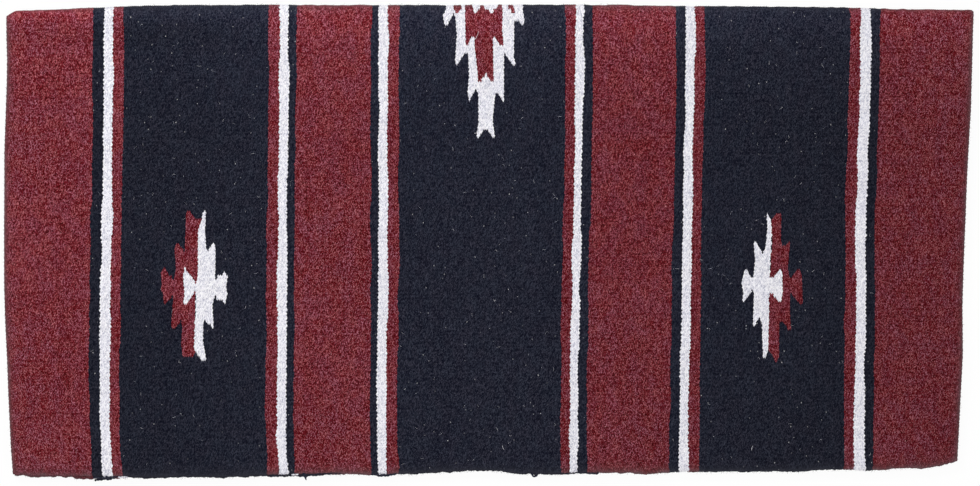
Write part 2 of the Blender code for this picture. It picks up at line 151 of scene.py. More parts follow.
# Name, colour, middle and outline of each inlaid figure, in mm; the outline is measured from the middle.
STAR_LEFT_MIDDLE = (-276.8, -43.3)
STAR_RIGHT_MIDDLE = (265.7, -42.6)
LOZENGE_MIDDLE = (-4.8, 223)
INLAYS = (
    ("star_red_left", "red", STAR_LEFT_MIDDLE, (
        (-10.4, 70.5), (-6.6, 70.5), (-0.9, 63.9), (4.7, 64.3), (0.9, 53.4), (0.5, 9), (-0.9, 3.8),
        (-2.6, -33.6), (-2.8, -59.1), (0.5, -62.9), (-8.5, -66.7), (-13.2, -67.2), (-15.1, -54.4),
        (-13.7, -39.3), (-15.1, -33.1), (-18, -35.9), (-22.2, -40.7), (-24.4, -36.4), (-22.2, -9),
        (-31.2, -17), (-32.2, -7.1), (-34.1, -2.4), (-33.1, 2.4), (-34.2, 13.7), (-30.7, 18), (-25.5, 9),
        (-21.8, 6.1), (-19.9, 17.5), (-21.3, 36.4), (-18.9, 43), (-15.1, 36.9), (-11.4, 34.1),
    )),
    ("star_white_left", "white", STAR_LEFT_MIDDLE, (
        (6.6, 71.4), (8.5, 70.5), (7.6, 51.6), (9, 34.5), (10.4, 34.1), (16.1, 43), (17.5, 37.4), (17, 6.6),
        (23.6, 10.9), (25.5, 14.2), (28.9, 9.9), (27.4, -2.4), (28.9, -6.1), (26.5, -16.6), (23.6, -12.8),
        (16.6, -9.9), (14.7, -17.5), (15.9, -42.1), (12.8, -35.9), (9.5, -34.5), (7.6, -31.7), (6.1, -33.6),
        (5.7, -50.6), (8.8, -70.5), (6.1, -72.4), (-2.8, -59.1), (-0.9, -6.6), (-2.4, -6.1), (-11.4, -18.4),
        (-13, -13.7), (-11.8, -8), (-13.4, 10.9), (-11.4, 17), (-0.9, 3.8), (0.5, 9), (0.9, 53.4),
        (4.7, 64.3), (4.7, 68.6),
    )),
    ("star_red_right", "red", STAR_RIGHT_MIDDLE, (
        (0.6, 62.2), (7.2, 70.3), (10, 68.9), (9.7, 43.3), (11, 36.2), (18.5, 42.4), (16.4, 16.8),
        (18.1, 6), (26.6, 17.3), (29.4, 11.2), (30.8, -16.3), (28.5, -18.2), (18.5, -6.3), (18.3, -22.9),
        (19.5, -41.3), (16.6, -41.8), (14.8, -37.1), (11, -33.8), (8.6, -34.2), (8.4, -67.4), (6.2, -71.1),
        (3.9, -70.2), (2.5, -65.5), (-1.8, -60.7), (-2.3, -56), (-0.9, -27.6), (-1.8, -10.6), (1.5, 43.3),
    )),
    ("star_white_right", "white", STAR_RIGHT_MIDDLE, (
        (-3.7, 69.3), (0.6, 62.2), (1, 54.7), (-0.9, 6.9), (3.4, 8.8), (9.1, 16.1), (11, 12.1),
        (11.6, -4.9), (10.3, -17.2), (-0.9, -5.9), (-1.8, -60.7), (-4.2, -67.4), (-7, -69.2), (-7.9, -37.1),
        (-9.8, -30), (-12.7, -33.3), (-16.5, -42.8), (-15.5, -5.9), (-16.9, -4.9), (-25, -15.3),
        (-26.9, -13.9), (-25.6, -7.8), (-27.5, 2.6), (-23.7, 18.3), (-18.8, 8.8), (-16.2, 7.4),
        (-14.6, 24.4), (-16, 40.5), (-14.1, 42.4), (-7.9, 32), (-5.1, 33.9), (-3.2, 52.8),
    )),
    ("lozenge_white", "white", LOZENGE_MIDDLE, (
        (-36.9, 4.7), (-36.9, -3.8), (-39.7, -10.4), (-37.4, -21.3), (-34.5, -19.4), (-34.1, -16.1),
        (-29.5, -8.8), (-27.9, -11.4), (-26.5, -27.4), (-28.1, -53), (-26.5, -57.2), (-18, -44.3),
        (-15.6, -46.4), (-14.7, -67.2), (-16.1, -83.2), (-14.4, -90.8), (-8.5, -79.7), (-6.1, -83.2),
        (-5.7, -110.7), (-7.8, -124.4), (-6.1, -126.3), (-0.5, -117.3), (0.5, -114.5), (8, -126.3),
        (9.7, -125.3), (7.6, -108.8), (9.9, -87), (11.2, -81.4), (18.4, -92.7), (18.7, -44.9),
        (27.9, -58.2), (29.6, -54.9), (27.9, -50.1), (28.4, -14.2), (31.7, -13.7), (35.9, -19.9),
        (38.1, -15.6), (36.4, -5.7), (36.9, 4.7),
    )),
    ("lozenge_red", "red", LOZENGE_MIDDLE, (
        (-18.6, 4.7), (-18, -35.9), (-17, -41), (-13.7, -32.2), (-11.8, -29.6), (-9, -29.3), (-9.5, -36.9),
        (-6.1, -67.2), (-6.8, -73.8), (1.4, -65.9), (8.7, -75.2), (8, -36.9), (8, -32.2), (9.5, -30),
        (16.6, -40.7), (18.2, -38.3), (16.6, -23.6), (17.5, -6.6), (16.3, 4.7), (13.2, 4.7), (12.8, -0.9),
        (6.6, -8), (4.7, -5), (0, -2.8), (-1.1, 4.7), (-4, 4.7), (-4.3, -2.4), (-9.3, -8), (-12.8, 4.7),
    )),
    ("lozenge_red", "red", LOZENGE_MIDDLE, (
        (-29.8, 4.7), (-29.5, -2.8), (-26.7, -7.9), (-23.2, -4.3), (-21.8, -2.8), (-22.5, 4.7),
    )),
    ("lozenge_red", "red", LOZENGE_MIDDLE, (
        (22.5, 4.7), (22.9, -2.8), (24.1, -4.4), (25.8, -3.8), (25.4, -7.1), (26.7, -8.5), (29.1, -6.6),
        (28.9, -4.3), (26, 4.7),
    )),
)

# The lattice
TURN_ROWS = 2 * TURN_RIBS
LEAF_ROWS = 2 * RIBS
LAST_ROW = TURN_ROWS + LEAF_ROWS
ROW = LEAF_LENGTH / LEAF_ROWS  # a row's usual height
columns = np.arange(PICKS + 1)[:, None]
rows = np.arange(-LAST_ROW, LAST_ROW + 1)[None, :]
ribs = rows // 2
from_end = np.minimum(columns, PICKS - columns)
from_selvage = LAST_ROW - np.abs(rows)
OUTER, UPPER_BULGE, LOWER_BULGE, INNER = range(4)


def soft_noise(seed, across, along):
    """Smooth random values from -1 to 1 over the lattice, with a knot every so many columns and rows."""
    shape = (int(PICKS / across) + 3, int(2 * LAST_ROW / along) + 3)
    knots = np.random.default_rng(seed).uniform(-1, 1, shape)
    a = columns / across
    b = (rows + LAST_ROW) / along
    i, j = a.astype(int), b.astype(int)
    p, q = a - i, b - j
    p, q = p * p * (3 - 2 * p), q * q * (3 - 2 * q)
    near = knots[i, j] * (1 - q) + knots[i, j + 1] * q
    far = knots[i + 1, j] * (1 - q) + knots[i + 1, j + 1] * q
    return near * (1 - p) + far * p


def table_value(table, at, column=1):
    """Value of a table of (place, value, ...) rows at a place, in metres."""
    return np.interp(at, [r[0] for r in table], [r[column] for r in table]) / 1000


def stripe_lean(u, share):
    """How far the cloth has leant sideways at a share of the leaf."""
    inside = sum(
        np.interp(share, LEAN_SHARES, only) * table_value(STRIPE_LEAN, u * 1000, k + 1)
        for k, only in enumerate(np.eye(len(LEAN_SHARES)))
    )
    first, last = STRIPE_LEAN[0][0] / 1000, STRIPE_LEAN[-1][0] / 1000
    left = np.clip((first - u) / (first + WIDTH / 2), 0, 1)
    right = np.clip((u - last) / (WIDTH / 2 - last), 0, 1)
    inside = inside * (1 - left) + table_value(LEFT_END, share) * left
    return inside * (1 - right) + table_value(RIGHT_END, share) * right


def corner_fall(u):
    """How far the fold line falls at the blanket's two worn corners."""
    fall = 0
    for end, reach, drop in WORN_CORNERS:
        past = np.clip(1 - (WIDTH / 2 - end * u) / reach, 0, 1)
        fall = fall + drop * past ** 1.2
    return fall


def upper_swell(u, share):
    """How far the upper leaf swells up past the fold, and lifts at its selvage, in mm."""
    swell = 0.42 + 0.3 * np.sin(11 * u + 6 * share + 0.6)
    swell = swell + 0.26 * np.sin(23 * u - 9 * share * share + 2.1)
    lift = 0.9 * np.clip((share - 0.9) / 0.1, 0, 1) ** 2 * (0.6 + 0.4 * np.sin(31 * u + 1))
    return swell * 0.8 + lift


def cloth_point(u, row, height):
    """Place on the folded blanket of a point u across, row along and height out of the cloth's middle."""
    under = row < 0
    left, right = (np.where(under, DEPTHS[-1][end], DEPTHS[1][end]) for end in (0, 1))
    depth = left + (right - left) * (u / WIDTH + 0.5)
    turn = np.clip(row / TURN_ROWS, -1, 1) * math.pi / 2
    share = np.maximum(np.abs(row) - TURN_ROWS, 0) / LEAF_ROWS
    at_fold = np.clip(1 - share / FOLD_FADE, 0, 1) ** 2
    at_selvage = np.clip(share, 0, 1) ** SELVAGE_POWER
    radius = MIDDLE_RADIUS + height
    x = AXIS_X + u + stripe_lean(u, share)
    bow = table_value(FOLD_BOW, u * 1000) - corner_fall(u) - FOLD_EASE
    pressed = np.maximum(bow, LEAST_REACH - FOLD_REACH)
    y = AXIS_Y + radius * np.cos(turn) * (1 + pressed / FOLD_REACH) - share * depth
    y = y + (bow - pressed) * at_fold - np.where(np.abs(row) < TURN_ROWS, 0, PARTING)
    y = y - table_value(SELVAGE_BOW, u * 1000) * at_selvage
    y = y - np.where(under, table_value(UNDER_SELVAGE_BOW, u * 1000), 0) * at_selvage
    z = AXIS_Z + radius * np.sin(turn)
    rise = np.clip(share / RISE_SHARE, 0, 1)
    z = z + np.where(under, 0, upper_swell(u, share) * 0.001 * rise * rise * (3 - 2 * rise))
    return np.stack(np.broadcast_arrays(x, y, z), -1)


def inside_outline(x, y, outline):
    """Which of the points lie inside an outline."""
    hit = np.zeros(x.shape, bool)
    for (ax, ay), (bx, by) in zip(outline, outline[1:] + outline[:1]):
        if ay != by:
            hit ^= ((ay > y) != (by > y)) & (x < (bx - ax) * (y - ay) / (by - ay) + ax)
    return hit


def share_out_floats():
    """Which yarn each cell of the lattice belongs to.

    Gives each cell's number among the names, the names with their colours, the middle column and the rib of
    each cell's float, and the columns of the lines between the bands.
    """
    cell_rib = np.broadcast_to(ribs[:, :-1], (PICKS, 2 * LAST_ROW))
    centre = columns[:-1] - ((columns[:-1] + cell_rib) & 1) + 1
    names = list(dict.fromkeys(entry[:2] for entry in BANDS + INLAYS))
    ragged = 0.8 * soft_noise(41, 1, 18)[np.clip(centre, 0, PICKS), 2 * cell_rib + LAST_ROW]
    band = np.clip(np.searchsorted(BAND_EDGES, centre + ragged, "left") - 1, 0, len(BANDS) - 1)
    owner = np.array([names.index(entry[:2]) for entry in BANDS])[band]
    place = cloth_point((centre - PICKS / 2) * PICK, cell_rib * 2 + 1, HALF_THICK) * 1000
    for name, colour, (mx, my), outline in INLAYS:
        inside = inside_outline(place[..., 0] - mx, place[..., 1] - my, outline)
        owner[inside] = names.index((name, colour))
    lines = np.stack([(band < number).sum(0) for number in range(1, len(BANDS))])
    return owner, names, centre, cell_rib, lines


def crossings(y, outline, middle):
    """Where an outline crosses a line at y, from left to right."""
    found = []
    for (ax, ay), (bx, by) in zip(outline, outline[1:] + outline[:1]):
        if (ay > y - middle[1]) != (by > y - middle[1]):
            found.append(middle[0] + ax + (bx - ax) * (y - middle[1] - ay) / (by - ay))
    return sorted(found)


def fit_to_outlines(owner, names, lines):
    """How far each lattice point moves sideways, in picks, and how much of a tip's reach it keeps.

    The edges of figures and stripes then run smoothly, with a scallop for each rib where the lighter yarn
    stands out over the darker one.
    """
    rank = np.array([{"white": 2, "red": 1, "black": 0}[colour] for _, colour in names])
    scallops = {0: 0, 1: RED_SCALLOP, 2: WHITE_SCALLOP}
    ends = np.pad(lines[:, ::2], ((0, 0), (2, 2)), "edge")
    even = np.repeat(sum(w * ends[:, n:n + lines.shape[1] // 2] for n, w in enumerate(EVENING)), 2, 1)
    outlines = {}
    for name, colour, middle, outline in INLAYS:
        outlines.setdefault(names.index((name, colour)), []).append((outline, middle))
    reach = np.where((columns + ribs) & 1, -FLOAT_TIP_REACH, FLOAT_TIP_REACH) * (1 - (rows & 1))
    flat = cloth_point((columns - PICKS / 2) * PICK, rows + reach, HALF_THICK) * 1000
    moved, kept = np.zeros(flat.shape[:2]), np.ones(flat.shape[:2])
    inlaid = np.isin(owner, list(outlines))
    edge = (owner[1:] != owner[:-1]) & (inlaid[1:] | inlaid[:-1])
    uneven = np.random.default_rng(17).uniform(0.25, 1.35, owner.shape)
    waver = 0.4 * soft_noise(18, 5, 11) + 0.3 * soft_noise(19, 5, 5)

    def scallop(c, cell, k):
        """How far the line between two yarns stands out at a crest, and back at a valley."""
        before, after = rank[owner[c - 1, cell]], rank[owner[c, cell]]
        out = scallops[max(before, after)] * np.sign(before - after) * uneven[c, cell]
        return out if (k - LAST_ROW) & 1 else -out

    for k in range(1, 2 * LAST_ROW):
        anchors = {}
        for c, goal in zip(lines[:, k - 1:k + 1].T.ravel(), np.tile(even[:, k - 1:k + 1].mean(1), 2)):
            if not (inlaid[c - 1, k] or inlaid[c, k]):
                anchors[c] = (goal - c) * STRIPE_FIT + waver[c, k] + scallop(c, k, k)
                kept[c, k] = NOTCH_REACH
        for cell in (k - 1, k):
            for c in np.flatnonzero(edge[:, cell]) + 1:
                x, y = flat[c, k, :2]
                spots = []
                for number, side in ((owner[c, cell], 0), (owner[c - 1, cell], 1)):
                    for outline, middle in outlines.get(number, ()):
                        spots += crossings(y, outline, middle)[side::2]
                near = [s - x for s in spots if abs(s - x) < OUTLINE_REACH]
                if near:
                    fitted = min(near, key=abs) / (PICK * 1000) * FIGURE_FIT
                    anchors[c] = fitted + scallop(c, cell, k) * FIGURE_SCALLOP
        if not anchors:
            continue
        found = sorted(anchors)
        stops = {found[0] - FIT_FADE: 0, found[-1] + FIT_FADE: 0}
        for c, after in zip(found, found[1:]):
            if after - c > 2 * FIT_FADE:
                stops[c + FIT_FADE] = stops[after - FIT_FADE] = 0
        stops.update(anchors)
        span = np.arange(found[0] - 2 * FIT_FADE, found[-1] + 2 * FIT_FADE + 1)
        place = span * LEAST_SPACING + np.interp(span, sorted(stops), [stops[c] for c in sorted(stops)])
        place = (np.maximum.accumulate(place) + np.minimum.accumulate(place[::-1])[::-1]) / 2
        moved[np.clip(span, 0, PICKS), k] = place - span * LEAST_SPACING
    return moved, kept


def build_lattice(moved, kept):
    """Places and yarn coordinates of every lattice point: outer face, two rows of the edge, inner face."""
    random = np.random.default_rng(3)
    crest = (rows & 1) == 1
    middle = ((columns + ribs) & 1) == 1  # middle line of a float of this row's rib
    wander = 0.0001 * soft_noise(5, 1, 12) + 0.00022 * soft_noise(6, 8, 14) + 0.0004 * soft_noise(7, 30, 40)
    inside = np.clip(from_end / 8, 0.3, 1)
    u = (columns - PICKS / 2 + moved) * PICK + wander * inside * np.where(moved == 0, 1, 0.6)
    # A point of a valley row is the tip of a float of the rib before it or after it.
    before = ((columns + ribs - 1) & 1) == 1
    reach = FLOAT_TIP_REACH + random.uniform(-TIP_SPREAD, TIP_SPREAD, before.shape)
    tips = np.where(crest, 0, np.where(before, reach, -reach)) * kept
    sway = 0.1 * soft_noise(8, 100, 6) + 0.08 * soft_noise(9, 12, 2)
    last = from_selvage == 0
    first = np.abs(rows) == TURN_ROWS
    free = np.clip(from_selvage / 4, 0, 1) * np.clip(np.abs(np.abs(rows) - TURN_ROWS) / 3, 0, 1)
    row = rows + np.where(last | first, 0, tips) + sway * free
    plump = 1 + 0.16 * soft_noise(11, 5, 12) + random.uniform(-0.3, 0.3, before.shape)
    dip = np.where(crest, np.where(middle, 0, FLOAT_SIDE_DIP), FLOAT_TIP_DIP) * plump
    dip = dip + np.where(crest & middle, CREST_SPREAD, 0) * random.uniform(0, 1, before.shape)
    dip = dip + 0.00012 * (1 + soft_noise(12, 40, 30))
    # The cloth thins towards its free edges.
    at_turn = np.clip(1.5 - np.abs(rows) / 7, 0, 1)
    round_off = 0.0014 * np.exp(-((from_end / 2) ** 2)) * (1 - 0.8 * at_turn)
    round_off = round_off + 0.0012 * np.exp(-((from_selvage / 1.6) ** 2))
    thick = HALF_THICK - np.minimum(round_off, EDGE_SOFTNESS)
    loops = random.uniform(-0.0003, 0.0003, columns.shape)
    loops = loops + 0.0005 * soft_noise(14, 2.6, 900) + 0.0007 * soft_noise(15, 8, 900)
    rougher = np.interp(columns, (0, 840, 880, PICKS), (1, 1, 2, 2))
    thick = thick + 0.0004 * soft_noise(16, 6, 900) * at_turn * rougher
    out_u = np.where(columns == 0, -1, np.where(columns == PICKS, 1, 0))
    out_row = np.where(last, np.sign(rows), 0)
    grain = np.where(crest, 0.0002, -0.0002)
    heights = {
        OUTER: thick - dip, UPPER_BULGE: np.full(dip.shape, BULGE_HEIGHT),
        LOWER_BULGE: np.full(dip.shape, -BULGE_HEIGHT), INNER: (thick - dip) * -1,
    }
    flat_u = (columns - PICKS / 2 + moved) * PICK * 1000
    flat_row = (rows + 0.35 * tips) * ROW * 1000
    places, woven = [], []
    for layer, height in heights.items():
        bulging = layer in (UPPER_BULGE, LOWER_BULGE)
        layer_u = u + out_u * ((EDGE_BULGE + grain) if bulging else 0)
        layer_row = row + out_row * ((EDGE_BULGE + loops) if bulging else 0) / ROW
        places.append(cloth_point(layer_u, layer_row, height))
        woven.append(np.stack(np.broadcast_arrays(flat_u, flat_row, height * 1000), -1))
    return np.stack(places), np.stack(woven)


# Finishes
FIBRE_TURN = 0.42  # of the fibres from the weft's run
RECESS_SHADE_TOP = 3.55  # height from the cloth's middle below which the valleys get painted shade, in mm
HALF_SPAN = 457  # of the blanket's width, in mm


class Value:
    """A number on a shader socket, so that sums on it are written as sums."""

    def __init__(self, finish, socket):
        self.finish, self.socket = finish, socket

    def sum(self, operation, first, second):
        return self.finish.value("ShaderNodeMath", {"operation": operation}, (first, second))

    def __add__(self, other):
        return self.sum("ADD", self, other)

    def __sub__(self, other):
        return self.sum("SUBTRACT", self, other)

    def __rsub__(self, other):
        return self.sum("SUBTRACT", other, self)

    def __mul__(self, other):
        return self.sum("MULTIPLY", self, other)

    __radd__, __rmul__ = __add__, __mul__


class Finish:
    """A material or world, and the few ways its nodes are added."""

    def __init__(self, holder):
        self.holder = holder
        holder.use_nodes = True
        self.tree = holder.node_tree
        self.tree.nodes.clear()

    def node(self, kind, settings=None, sockets=(), output=0):
        """Adds a node: its settings first, then the values or links of its sockets."""
        made = self.tree.nodes.new(kind)
        for key, value in (settings or {}).items():
            if key == "stops":
                ramp = made.color_ramp
                while len(ramp.elements) < len(value):
                    ramp.elements.new(0.5)
                for element, (position, colour) in zip(ramp.elements, value):
                    element.position, element.color = position, (*colour, 1)
            else:
                setattr(made, key, value)
        pairs = sockets.items() if isinstance(sockets, dict) else enumerate(sockets)
        for key, value in pairs:
            if isinstance(value, Value):
                value = value.socket
            if isinstance(value, bpy.types.NodeSocket):
                self.tree.links.new(value, made.inputs[key])
            else:
                made.inputs[key].default_value = value
        return made.outputs[output] if made.outputs else None

    def value(self, *args, **more):
        return Value(self, self.node(*args, **more))

    def attribute(self, name, output):
        return self.node("ShaderNodeAttribute", {"attribute_name": name}, output=output)

    def scaled(self, where, cell, turn=0, offset=(0, 0, 0)):
        """A texture's place, where cell is one unit, in mm, turned about the cloth's normal."""
        return self.node(
            "ShaderNodeMapping", {"vector_type": "TEXTURE"},
            {"Vector": where, "Location": offset, "Rotation": (0, 0, turn), "Scale": cell},
        )

    def grain(self, where, cell, turn=0, detail=2, rough=0.5, offset=(0, 0, 0)):
        """Noise from 0 to 1 whose grains are cell in size."""
        return self.value(
            "ShaderNodeTexNoise", {"noise_dimensions": "3D"},
            {"Vector": self.scaled(where, cell, turn, offset), "Scale": 1, "Detail": detail,
             "Roughness": rough},
        )

    def cells(self, where, cell, turn=0, offset=(0, 0, 0)):
        """A number from 0 to 1 for each fleck of fibre, cell in size."""
        spot = self.scaled(where, cell, turn, offset)
        sockets = {"Vector": spot, "Scale": 1}
        shade = self.node("ShaderNodeTexVoronoi", {"feature": "F1"}, sockets, output=1)
        return self.value("ShaderNodeSeparateColor", {}, (shade,))

    def size_of(self, value):
        return self.value("ShaderNodeMath", {"operation": "ABSOLUTE"}, (value,))

    def shown(self):
        """1 where the camera sees a surface, itself or in a gloss, and 0 where only its light is meant."""
        camera, glossy, through = (
            self.value("ShaderNodeLightPath", output=f"Is {ray} Ray")
            for ray in ("Camera", "Glossy", "Transmission")
        )
        return self.value("ShaderNodeMath", {"operation": "MINIMUM"}, (camera + glossy + through, 1))

    def ramp(self, value, stops):
        return self.node("ShaderNodeValToRGB", {"stops": stops}, (value,))

    def mix(self, factor, first, second, blend="MIX"):
        """Two colours mixed; each is a socket or three numbers."""
        first, second = ((*c, 1) if isinstance(c, tuple) else c for c in (first, second))
        settings = {"data_type": "RGBA", "blend_type": blend}
        return self.node("ShaderNodeMix", settings, {0: factor, 6: first, 7: second}, output=2)

    def smooth(self, value, low, high):
        steps = {"interpolation_type": "SMOOTHSTEP"}
        return self.value("ShaderNodeMapRange", steps, (value, low, high, 0, 1))

    def surface(self, colour, roughness, height, strength, distance, sheen, sheen_tint, specular):
        relief = {"Strength": strength, "Distance": distance, "Height": height}
        bump = self.node("ShaderNodeBump", {}, relief)
        shader = self.node("ShaderNodeBsdfPrincipled", {}, {
            "Base Color": colour, "Roughness": roughness, "Normal": bump, "Sheen Weight": sheen,
            "Sheen Roughness": 0.5, "Sheen Tint": sheen_tint, "Specular IOR Level": specular,
        })
        self.node("ShaderNodeOutputMaterial", {}, (shader,))
        return self.holder


def wool(name, shades, cast, light_falloff_and_dye, fold_highlight_gain, sheen, sheen_tint, fleck=1.2, cell=(0.48, 1.3, 0.3), bow=0,
         shaded_worn_edge_colour=None, lint=None):
    """Hand-spun wool weft.

    shades are its fibres from dark to light, fleck is how far they are mixed, and cell the size of a fleck
    in mm and the share of the larger ones.  cast holds two casts of the dye.  drift is the gain in
    brightness from left to right: painted light that falls off towards the right, with a dye difference
    in the red as well.  bow is the loss at both ends, and fade the painted highlight along the fold.  haze
    is the colour of the edges: painted shade of their rounded faces, together with scuffing.  lint is the
    colour of the flecks of other wool.
    """
    f = Finish(bpy.data.materials.new(name))
    where = f.attribute("woven", "Vector")
    across, along, out = (f.value("ShaderNodeSeparateXYZ", {}, (where,), output=k) for k in range(3))
    tint, wear = (
        f.value("ShaderNodeAttribute", {"attribute_name": key}, output=2) for key in ("tint", "wear")
    )
    fibre = f.grain(where, (0.3, 1.1, 0.5), FIBRE_TURN, 2, 0.6)
    fine = f.cells(where, (cell[0], cell[1], 1), FIBRE_TURN)
    coarse = f.cells(where, (0.9, 1.7, 1.2), 0.1, (31, 7, 3))
    patch = f.grain(where, (12, 19, 12), 0, 2, 0.5, (5, 90, 2))
    field = f.grain(where, (60, 80, 60), 0, 1, 0.5, (400, 20, 2))
    # Painted shade in the valleys of the weave.
    recess_shade = f.smooth(RECESS_SHADE_TOP - f.size_of(out), 0.2, 1)
    level = 0.5 + (fine - 0.5) * (fleck * 0.95) + (coarse - 0.5) * (fleck * cell[2])
    level = level + (fibre - 0.5) * (fleck * 0.5) + tint * (fleck * 0.06)
    level = level + (patch - 0.5) * 0.09 + (field - 0.5) * 0.09 - recess_shade * 0.12 + 0.02
    colour = f.ramp(level, shades)
    first, second = (f.mix(1, colour, tone, "MULTIPLY") for tone in cast)
    colour = f.mix(f.smooth(patch, 0.35, 0.65), first, second)
    from_fold = f.size_of(along)
    # Painted highlight along the fold, where the turning cloth faces the light, strongest close to it.
    painted_fold_light = 1 - f.smooth(from_fold, 0, 130) + (1 - f.smooth(from_fold, 6, 50)) * 1.4
    # At the left corner the painted highlight on the fold is stronger, and a band of painted shade lies just
    # beyond it.
    left = 0 - across  # grows towards the left end
    corner_fold_highlight = f.smooth(left, 340, 400) * (1 - f.smooth(from_fold, 12, 22))
    corner_shade_band = f.smooth(from_fold, 14, 23) * (1 - f.smooth(from_fold, 30, 52))
    painted_fold_light = painted_fold_light + corner_fold_highlight * 1.2 - f.smooth(left, 150, 330) * corner_shade_band * 1.25
    # Painted light that falls off from left to right (in the red also a dye difference), darker towards both
    # ends, and the painted highlight near the fold.
    tone = 1 + across * (light_falloff_and_dye / (2 * HALF_SPAN)) - across * across * (bow / HALF_SPAN ** 2)
    tone = tone + painted_fold_light * fold_highlight_gain
    colour = f.node("ShaderNodeVectorMath", {"operation": "SCALE"}, {"Vector": colour, "Scale": tone})
    if lint:
        spots = {"Vector": f.scaled(where, (7.5, 9, 1)), "Scale": 1}
        speck = {"voronoi_dimensions": "2D", "feature": "F1"}
        near = f.value("ShaderNodeTexVoronoi", speck, spots) + (fibre - 0.5) * 0.1
        kind = f.node("ShaderNodeTexVoronoi", speck, spots, output=1)
        chance = f.value("ShaderNodeSeparateColor", {}, (kind,), output=2)
        strewn = f.smooth(f.grain(where, (55, 70, 55), 0, 1, 0.5, (90, 0, 0)), 0.35, 0.6) * 0.7 + 0.5
        bit = (1 - f.smooth(near, 0.03, 0.065)) * f.smooth(chance, 0.79, 1.06) * strewn
        colour = f.mix(bit, colour, lint)
    # Painted shade of the rounded edges, together with scuffing: the edges turn greyer.
    if shaded_worn_edge_colour:
        colour = f.mix(wear * 0.85, colour, shaded_worn_edge_colour)
    roughness = 0.93 - (fibre - 0.5) * 0.14 - wear * 0.05
    strands = f.grain(where, (0.22, 2, 0.5), FIBRE_TURN, 2, 0.6, (3, 3, 3))
    height = strands * 0.6 + fibre * 0.4 + fine * 0.35
    return f.surface(colour, roughness, height, 0.7, 0.0003, sheen, sheen_tint, 0.1)


def cotton(name):
    """Tight two-ply cotton cord."""
    f = Finish(bpy.data.materials.new(name))
    where = f.attribute("woven", "Vector")
    fibre = f.grain(where, (0.25, 1.2, 0.25), 0.5, 3, 0.6)
    colour = f.ramp(fibre, ((0.2, (0.4, 0.35, 0.26)), (0.5, (0.62, 0.57, 0.48)), (0.8, (0.76, 0.72, 0.64))))
    return f.surface(colour, 0.85 + fibre * 0.1, fibre, 0.5, 0.0002, 0.15, (1, 0.95, 0.9, 1), 0.2)


# Painted light in each wool: a fall-off to the right, a highlight along the fold, and shaded, scuffed edges.
FINISHES = {
    "red": (wool(
        "madder_red_wool", cast=((1.04, 0.98, 0.92), (0.97, 1, 1.12)), fleck=1.38, cell=(0.43, 0.88, 0.26),
        shades=((0, (0.046, 0, 0.0008)), (0.5, (0.125, 0.0031, 0.0092)), (0.8, (0.194, 0.0303, 0.0408)),
                (1, (0.362, 0.123, 0.149))),
        light_falloff_and_dye=-0.27, fold_highlight_gain=0.17, shaded_worn_edge_colour=(0.14, 0.079, 0.087), lint=(0.62, 0.33, 0.36),
        sheen=0.015, sheen_tint=(1, 0.7, 0.7, 1),
    ), "red_weft"),
    "black": (wool(
        "blue_black_wool", cast=((1.03, 0.98, 1), (0.97, 1.02, 1.04)),
        shades=((0, (0.0013, 0.0016, 0.0078)), (0.5, (0.0096, 0.0114, 0.0211)), (1, (0.0377, 0.039, 0.058))),
        light_falloff_and_dye=-0.11, bow=0.38, fold_highlight_gain=0.23, shaded_worn_edge_colour=(0.036, 0.037, 0.05), lint=(0.6, 0.59, 0.6),
        sheen=0.012, sheen_tint=(0.8, 0.85, 1, 1),
    ), "black_weft"),
    "white": (wool(
        "bleached_white_wool", cast=((1, 1, 0.99), (0.985, 0.99, 1)),
        shades=((0, (0.5, 0.5, 0.59)), (0.5, (0.85, 0.828, 0.884)), (1, (0.96, 0.95, 0.98))),
        light_falloff_and_dye=-0.04, fold_highlight_gain=0.015, sheen=0.05, sheen_tint=(1, 1, 1, 1),
    ), "white_weft"),
    "cotton": (cotton("undyed_cotton_warp"), "warp_cotton"),
}


# Pieces
def make_piece(name, colour, places, woven, wear, triangles, tint, sharp=None):
    """A mesh piece from shared point arrays, its triangles and a tint for each."""
    used, index = np.unique(triangles, return_inverse=True)
    count = len(triangles)
    mesh = bpy.data.meshes.new(name)
    mesh.vertices.add(len(used))
    mesh.vertices.foreach_set("co", places[used].astype(np.float32).ravel())
    mesh.loops.add(3 * count)
    mesh.loops.foreach_set("vertex_index", index.astype(np.int32).ravel())
    mesh.polygons.add(count)
    mesh.polygons.foreach_set("loop_start", np.arange(0, 3 * count, 3, dtype=np.int32))
    mesh.update(calc_edges=True)
    for key, kind, domain, field, values in (
        ("woven", "FLOAT_VECTOR", "POINT", "vector", woven[used]),
        ("wear", "FLOAT", "POINT", "value", wear[used]),
        ("tint", "FLOAT", "FACE", "value", tint),
    ):
        mesh.attributes.new(key, kind, domain).data.foreach_set(field, values.astype(np.float32).ravel())
    if sharp is not None:
        ends = np.empty(2 * len(mesh.edges), np.int32)
        mesh.edges.foreach_get("vertices", ends)
        marks = sharp(used[ends.reshape(-1, 2)])
        mesh.attributes.new("sharp_edge", "BOOLEAN", "EDGE").data.foreach_set("value", marks)
    material, slot = FINISHES[colour]
    mesh.materials.append(material)
    piece = bpy.data.objects.new(name, mesh)
    bpy.context.scene.collection.objects.link(piece)
    return piece


ROW_COUNT = 2 * LAST_ROW + 1
LAYER = (PICKS + 1) * ROW_COUNT
# On the inner face a point between two floats of a rib is merged with the one below it.
MERGED = np.arange(4 * LAYER)
between = np.flatnonzero(((rows & 1) == 1) & (((columns + ribs) & 1) == 0)) + INNER * LAYER
MERGED[between] -= 1


